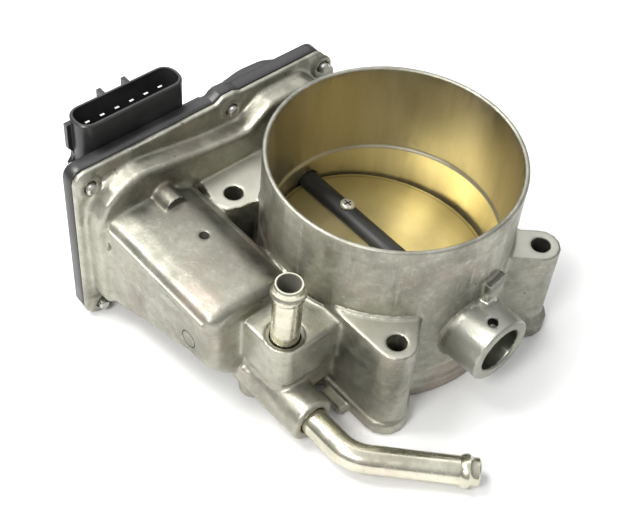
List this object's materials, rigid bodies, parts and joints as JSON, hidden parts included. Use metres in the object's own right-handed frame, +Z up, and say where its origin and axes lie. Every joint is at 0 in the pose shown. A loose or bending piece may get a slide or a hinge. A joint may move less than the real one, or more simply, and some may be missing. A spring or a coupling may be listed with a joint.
{
  "type": "electronic throttle body",
  "caption": "Cast throttle body with a round bore, tilting plate on a shaft, side motor and gear train under a plastic cover with a socket, and coolant pipes.",
  "frame": {"origin": "centre of the base of the part's bounding box; the manifold face is 8.2 mm above it and the bore axis is at y = 18.95 mm", "axes": "+Z up the bore towards the air filter hose, +X along the throttle shaft towards its open end, -Y towards the motor and coolant pipes"},
  "size_m": [0.1661, 0.1298, 0.0792],
  "materials": {
    "cast_aluminium": "satin die casting, machined faces brighter",
    "coated_plate": "gold-tinted coating",
    "dark_shaft_steel": "near-black satin coating",
    "bright_steel": "bright",
    "zinc_steel": "yellowish zinc plate",
    "black_plastic": "fine moulded texture",
    "gear_plastic": "natural nylon",
    "rubber": "matte",
    "ferrite": "dull sintered",
    "wound_copper": "varnished windings and plated steel",
    "tinned_contacts": "tin plate"
  },
  "bodies": {
    "body": {"throttle_housing": "cast_aluminium", "gear_side_bearing": "bright_steel", "end_side_bearing": "bright_steel", "end_plug": "bright_steel", "intermediate_pin": "bright_steel", "motor_screw_1": "bright_steel", "motor_screw_2": "bright_steel", "cover_screw_1": "bright_steel", "cover_screw_2": "bright_steel", "cover_screw_3": "bright_steel", "cover_screw_4": "bright_steel", "cover_screw_5": "bright_steel", "cover_screw_6": "bright_steel", "motor_can": "zinc_steel", "motor_end_plate": "zinc_steel", "straight_coolant_pipe": "zinc_steel", "bent_coolant_pipe": "zinc_steel", "gear_cover": "black_plastic", "position_sensor": "black_plastic", "gear_side_seal": "rubber", "cover_gasket": "rubber", "motor_magnet_1": "ferrite", "motor_magnet_2": "ferrite", "motor_blade_1": "tinned_contacts", "motor_blade_2": "tinned_contacts", "connector_pin_1": "tinned_contacts", "connector_pin_2": "tinned_contacts", "connector_pin_3": "tinned_contacts", "connector_pin_4": "tinned_contacts", "connector_pin_5": "tinned_contacts", "connector_pin_6": "tinned_contacts"},
    "throttle": {"throttle_shaft": "dark_shaft_steel", "throttle_plate": "coated_plate", "plate_screw_1": "bright_steel", "plate_screw_2": "bright_steel", "sector_gear": "gear_plastic", "sensor_magnet": "ferrite", "return_spring": "bright_steel"},
    "reduction": {"intermediate_gear": "gear_plastic"},
    "rotor": {"motor_armature": "wound_copper", "motor_pinion": "bright_steel"}
  },
  "joints": [
    {"name": "throttle_turn", "type": "hinge", "parent": "body", "child": "throttle", "pos_m": [0, 0.01895, 0.0336], "axis": [-1, 0, 0], "range_deg": [-6, 79], "stiffness_Nm_per_rad": 0.05, "deforming": ["return_spring"]},
    {"name": "reduction_turn", "type": "hinge", "parent": "body", "child": "reduction", "pos_m": [-0.062, -0.01404, 0.03446], "axis": [-1, 0, 0], "range_deg": [-355.5, 27]},
    {"name": "rotor_turn", "type": "hinge", "parent": "body", "child": "rotor", "pos_m": [-0.062, -0.04103, 0.03517], "axis": [-1, 0, 0], "range_deg": [-108, 1422]}
  ],
  "couplings": [
    {"joint": "reduction_turn", "follows": "throttle_turn", "ratio": -4.5},
    {"joint": "rotor_turn", "follows": "throttle_turn", "ratio": 18}
  ]
}
